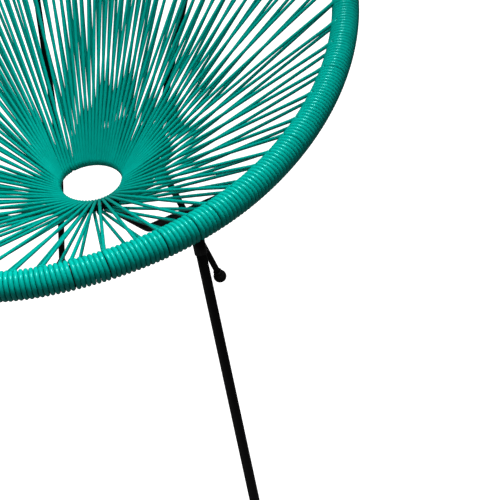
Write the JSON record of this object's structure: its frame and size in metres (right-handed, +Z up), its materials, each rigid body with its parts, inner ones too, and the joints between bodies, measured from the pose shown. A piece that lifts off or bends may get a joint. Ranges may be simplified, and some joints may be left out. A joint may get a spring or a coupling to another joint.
{
  "type": "acapulco chair",
  "caption": "Low patio chair: an egg-shaped rim wound with round cord, cords stretched to a small seat ring, and slim steel legs with ball feet.",
  "frame": {"origin": "middle of the bounding box, on the floor under the seat", "axes": "+Z up, the chair faces -Y, and it is the same on both sides of X = 0"},
  "size_m": [0.7714, 0.8306, 0.8742],
  "materials": {
    "frame_steel": "satin black powder coat",
    "cord": "glossy teal PVC cord",
    "rubber": "matte black"
  },
  "bodies": {
    "root": {"hoop_tube": "frame_steel", "rim_winding_01": "cord", "rim_winding_02": "cord", "rim_winding_03": "cord", "rim_winding_04": "cord", "rim_winding_05": "cord", "rim_winding_06": "cord", "rim_winding_07": "cord", "rim_winding_08": "cord", "rim_winding_09": "cord", "rim_winding_10": "cord", "rim_winding_11": "cord", "rim_winding_12": "cord", "rim_winding_13": "cord", "rim_winding_14": "cord", "rim_winding_15": "cord", "seat_ring": "frame_steel", "seat_cords_front": "cord", "seat_cords_right_1": "cord", "seat_cords_left_1": "cord", "seat_cords_right_2": "cord", "seat_cords_left_2": "cord", "seat_cords_right_3": "cord", "seat_cords_left_3": "cord", "seat_cords_right_4": "cord", "seat_cords_left_4": "cord", "seat_cords_right_5": "cord", "seat_cords_left_5": "cord", "seat_cords_right_6": "cord", "seat_cords_left_6": "cord", "seat_cords_back": "cord", "seat_arm_left": "frame_steel", "arm_gusset_left": "frame_steel", "ring_link_left": "frame_steel", "link_gusset_left": "frame_steel", "seat_arm_right": "frame_steel", "arm_gusset_right": "frame_steel", "ring_link_right": "frame_steel", "link_gusset_right": "frame_steel", "rear_rod_left": "frame_steel", "front_leg_left": "frame_steel", "leg_socket_left": "frame_steel", "rear_rod_right": "frame_steel", "front_leg_right": "frame_steel", "leg_socket_right": "frame_steel", "rear_foot_left": "rubber", "front_foot_left": "rubber", "rear_foot_right": "rubber", "front_foot_right": "rubber"}
  },
  "joints": []
}
